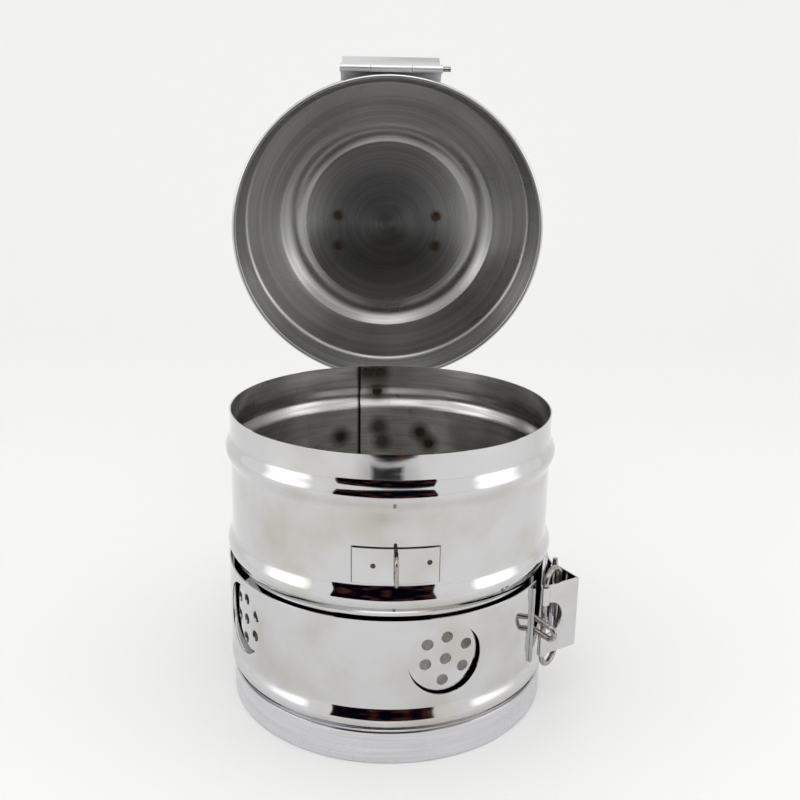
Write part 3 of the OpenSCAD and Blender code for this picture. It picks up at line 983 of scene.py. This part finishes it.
# ---- Vent band and its clasp -------------------------------------------------
class DRUM_OT_band(bpy.types.Operator):
    """Bends the sliding vent band, with its windows, hook and wire staple"""

    bl_idname = "drum.band"
    bl_label = "Vent band"

    def execute(self, context):
        s = sizes()
        low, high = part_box("vent_band")
        rows = 14
        line = [(high.y, low.z + (high.z - low.z) * i / rows) for i in range(rows + 1)]
        band = spin_sheet("vent_band_strip", line, s.sheet,
                          start=BAND_START, angle=BAND_ANGLE, steps=300)  # fmt: skip
        height = s.vent_height + WINDOW_RISE
        cut_round(band, [(WINDOW_AZ + turn, 0, height, s.window, 96) for turn in VENT_TURNS])
        chamfer(band, 0.00012)
        smooth(band)
        mount_piece(band, "band", "polished_steel", mirror_steel(), "vent_band")
        hook, staple = dressed("band_hook", 0.0001), dressed("band_staple", 0.0001, 50)
        mount_piece(hook, "band", "polished_steel", mirror_steel(), "band_hook")
        mount_piece(staple, "band", "wire_steel", wire_steel(), "band_staple")
        return {"FINISHED"}


class DRUM_OT_clasp(bpy.types.Operator):
    """Dresses the clasp: its hinge leaf and pin, the folded lever and the wire link"""

    bl_idname = "drum.clasp"
    bl_label = "Clasp"

    def execute(self, context):
        leaf = dressed("lever_hinge_leaf")
        mount_piece(leaf, "band", "polished_steel", mirror_steel(), "lever_hinge_leaf")
        pin = dressed("lever_pin", 0.0003, 50)
        mount_piece(pin, "band", "wire_steel", wire_steel(), "lever_pin")
        lever = dressed("clasp_lever")
        mount_piece(lever, "lever", "polished_steel", mirror_steel(), "clasp_lever")
        link = dressed("clasp_link", 0.0001, 60)
        mount_piece(link, "link", "wire_steel", wire_steel(), "clasp_link")
        return {"FINISHED"}


class DRUM_OT_welds(bpy.types.Operator):
    """Presses the spot welds' prints into place inside the drum and the lid"""

    bl_idname = "drum.welds"
    bl_label = "Spot welds"

    def execute(self, context):
        clear()
        bpy.ops.mesh.primitive_circle_add(vertices=20, radius=0.0025, fill_type="NGON")
        model = named("spot_weld")
        select_faces(model, lambda c, n: True)
        # a raised ring round a shallow dimple with a small pip
        steps = ((0.0004, 0.00022), (0.0003, 0.0), (0.0004, -0.00025), (0.0002, 0.0001))
        for thickness, depth in steps:
            bpy.ops.mesh.inset(thickness=thickness, depth=depth)
        clear()
        smooth(model, 80)
        model.data.materials.append(weld_scale())
        spots = []
        for p in wall_weld_points():
            inward = Vector((-p.x, -p.y, 0))
            spots.append(("drum", p + inward.normalized() * WELD_LIFT, inward))
        down = lid_turn().to_3x3() @ -UP
        spots += [("lid", p + down * WELD_LIFT, down) for p in disc_weld_points()]
        front = sizes().wall_radius + WELD_GAP + PLATE_SHEET
        spots += [("drum", around(front, az, z), around(1, az, 0)) for az, z in PLATE_WELDS]
        for number, (body, point, facing) in enumerate(spots, 1):
            take(model, edit=False)
            bpy.ops.object.duplicate()
            spot = named(f"spot_weld_{number}")
            spot.rotation_euler = facing.to_track_quat("Z", "Y").to_euler()
            spot.location = point
            if number > len(spots) - len(PLATE_WELDS):
                spot.scale = [PLATE_WELD_SCALE] * 3
            settle()
            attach(spot, body)
        bpy.data.objects.remove(model)
        return {"FINISHED"}


# ---- Stage -------------------------------------------------------------------
# The camera's place in metres, its azimuth, yaw, pitch down and roll in degrees, and its lens
CAMERA_SPOT = (-0.016602, -0.432161, 0.26394)
CAMERA_TURNS = (-2.2, 0.55, 15.66, 0.96)
CAMERA_LENS = 43.0


def card(name, size, location, aim, shade, strength, soft, glossy_only=False, second=None):
    """A card of light or dark that faces a point, with edges that fade over a share of its size."""
    clear()
    facing = (Vector(aim) - Vector(location)).to_track_quat("Z", "Y").to_euler()
    bpy.ops.mesh.primitive_plane_add(size=1, location=location, rotation=facing)
    piece = named(name)
    piece.scale = (size[0], size[1], 1)
    settle()
    finish, tree = new_finish(name)
    sides = add(tree, "SeparateXYZ", {0: add(tree, "TexCoord", out="UV")}).node.outputs
    fades = []
    for side, fade in zip(sides, soft):
        near = add(tree, "Math", {0: side, 1: 0.5}, operation="PINGPONG")
        fades.append(add(tree, "MapRange", {0: near, 1: 0, 2: fade, 3: 0, 4: 1}))
    shown = add(tree, "Math", {0: fades[0], 1: fades[1]}, operation="MULTIPLY")
    if second:
        where = add(tree, "TexCoord", out="Object")
        patches = add(tree, "TexNoise", {"Vector": where, "Scale": 1 / 0.12, "Detail": 1.0})
        share = add(tree, "MapRange", {0: patches, 1: 0.5, 2: 0.62, 3: 0, 4: 1})
        shade = add(tree, "Mix", {0: share, 6: shade, 7: second}, 2, data_type="RGBA")
    glow = add(tree, "Emission", {"Color": shade, "Strength": strength})
    shown = add(tree, "MixShader", {0: shown, 1: add(tree, "BsdfTransparent"), 2: glow})
    add(tree, "OutputMaterial", {0: shown})
    piece.data.materials.append(finish)
    piece.visible_camera = False
    if glossy_only:
        piece.visible_diffuse = False
        piece.visible_shadow = False
        piece.visible_transmission = False


class DRUM_OT_stage(bpy.types.Operator):
    """Lays the pale floor, hangs the soft lights and sets up the camera"""

    bl_idname = "drum.stage"
    bl_label = "Stage"

    def execute(self, context):
        clear()
        bpy.ops.mesh.primitive_plane_add(size=6, location=(0, -1, 0))
        floor = named("studio_floor")
        settle()
        take(floor)
        bpy.ops.mesh.select_mode(type="EDGE")
        bpy.ops.mesh.select_all(action="DESELECT")
        bpy.ops.object.mode_set(mode="OBJECT")
        back = max(v.co.y for v in floor.data.vertices)
        for edge in floor.data.edges:
            edge.select = all(floor.data.vertices[v].co.y > back - 0.01 for v in edge.vertices)
        bpy.ops.object.mode_set(mode="EDIT")
        bpy.ops.mesh.extrude_region_move(TRANSFORM_OT_translate={"value": (0, 0, 3)})
        clear()
        modify(floor, "BEVEL", width=1.2, segments=24, limit_method="ANGLE")
        smooth(floor, 60)
        finish, tree = new_finish("matt_white_paper")
        where = add(tree, "TexCoord", out="Object")
        shade = add(tree, "TexNoise", {"Vector": where, "Scale": 1 / 0.3, "Detail": 2.0})
        rough = add(tree, "MapRange", {0: shade, 1: 0.3, 2: 0.7, 3: 0.7, 4: 0.8})
        paper = {"Base Color": colours().floor, "Roughness": rough}
        add(tree, "OutputMaterial", {0: add(tree, "BsdfPrincipled", paper)})
        floor.data.materials.append(finish)

        world = bpy.data.worlds.new("white_tent")
        context.scene.world = world
        world.use_nodes = True
        background = world.node_tree.nodes["Background"]
        background.inputs["Color"].default_value = (1, 1, 1, 1)
        background.inputs["Strength"].default_value = 1.0

        # the tent's opening, with the unlit room behind the camera
        c = colours()
        card("dark_room", (0.6, 0.38), (-0.06, -0.48, 0.19), (-0.06, 0, 0.19), c.dark, 1.0,
             (0.004, 0.004), glossy_only=True, second=c.glow)  # fmt: skip
        card("camera_front", (0.17, 0.013), (-0.03, -0.422, 0.006), (-0.03, 0, 0.006), c.dark, 1.0,
             (0.16, 0.02), glossy_only=True)  # fmt: skip
        # painted shadow: a grey sheet on the floor, seen only in the steel, stands for the camera's
        # shadow
        card("camera_shade", (0.34, 0.2), (-0.03, -0.43, 0.0005), (-0.03, -0.43, 1),
             (0.3, 0.3, 0.31, 1), 1.0, (0.5, 0.5), glossy_only=True)  # fmt: skip
        white = (1, 1, 1, 1)
        card("top_softbox", (0.7, 0.4), (0, -0.5, 0.85), (0, 0.06, 0.1), white, 2.6, (0.2, 0.2))
        for side, name in ((-1, "left_softbox"), (1, "right_softbox")):
            card(name, (0.6, 0.55), (side * 0.75, -0.28, 0.3), (0, -0.28, 0.3), white, 2.2,
                 (0.25, 0.3))  # fmt: skip

        bpy.ops.object.camera_add()
        camera = bpy.context.object
        camera.name = camera.data.name = "studio_camera"
        azimuth, yaw, pitch, roll = (math.radians(a) for a in CAMERA_TURNS)
        ahead = Vector((-math.sin(azimuth), math.cos(azimuth), 0))
        across = Vector((math.cos(azimuth), math.sin(azimuth), 0))
        ahead, across = (ahead * math.cos(yaw) + across * math.sin(yaw),
                         across * math.cos(yaw) - ahead * math.sin(yaw))  # fmt: skip
        view = ahead * math.cos(pitch) - UP * math.sin(pitch)
        rise = ahead * math.sin(pitch) + UP * math.cos(pitch)
        right = across * math.cos(roll) + rise * math.sin(roll)
        top = rise * math.cos(roll) - across * math.sin(roll)
        camera.matrix_world = Matrix.Translation(CAMERA_SPOT) @ Matrix(
            (right, top, -view)
        ).transposed().to_4x4()
        camera.data.lens = CAMERA_LENS
        camera.data.sensor_width = 36.0
        camera.data.clip_start, camera.data.clip_end = 0.01, 20
        context.scene.camera = camera
        context.scene.view_settings.view_transform = "Standard"
        return {"FINISHED"}


# ---- The add-on --------------------
STEPS = (
    DRUM_OT_shell, DRUM_OT_seam, DRUM_OT_floor, DRUM_OT_base, DRUM_OT_plate, DRUM_OT_hinge,
    DRUM_OT_lid, DRUM_OT_hasp, DRUM_OT_handle, DRUM_OT_band, DRUM_OT_clasp, DRUM_OT_welds,
    DRUM_OT_stage,
)  # fmt: skip


class VIEW3D_PT_drum(bpy.types.Panel):
    """Lists the drum's sizes, colours and steps"""

    bl_idname = "VIEW3D_PT_drum"
    bl_label = "Sterilizing drum"
    bl_space_type = "VIEW_3D"
    bl_region_type = "UI"
    bl_category = "Drum"

    def draw(self, context):
        for group in (context.scene.drum_sizes, context.scene.drum_colours):
            box = self.layout.box()
            for name in group.__annotations__:
                box.prop(group, name)
        for step in STEPS:
            self.layout.operator(step.bl_idname)


CLASSES = (DrumSizes, DrumColours) + STEPS + (VIEW3D_PT_drum,)


def register():
    for item in CLASSES:
        bpy.utils.register_class(item)
    bpy.types.Scene.drum_sizes = bpy.props.PointerProperty(type=DrumSizes)
    bpy.types.Scene.drum_colours = bpy.props.PointerProperty(type=DrumColours)


def unregister():
    del bpy.types.Scene.drum_sizes, bpy.types.Scene.drum_colours
    for item in reversed(CLASSES):
        bpy.utils.unregister_class(item)


def main():
    register()
    for step in STEPS:
        family, action = step.bl_idname.split(".")
        getattr(getattr(bpy.ops, family), action)()
    clear()


if __name__ == "__main__":
    main()
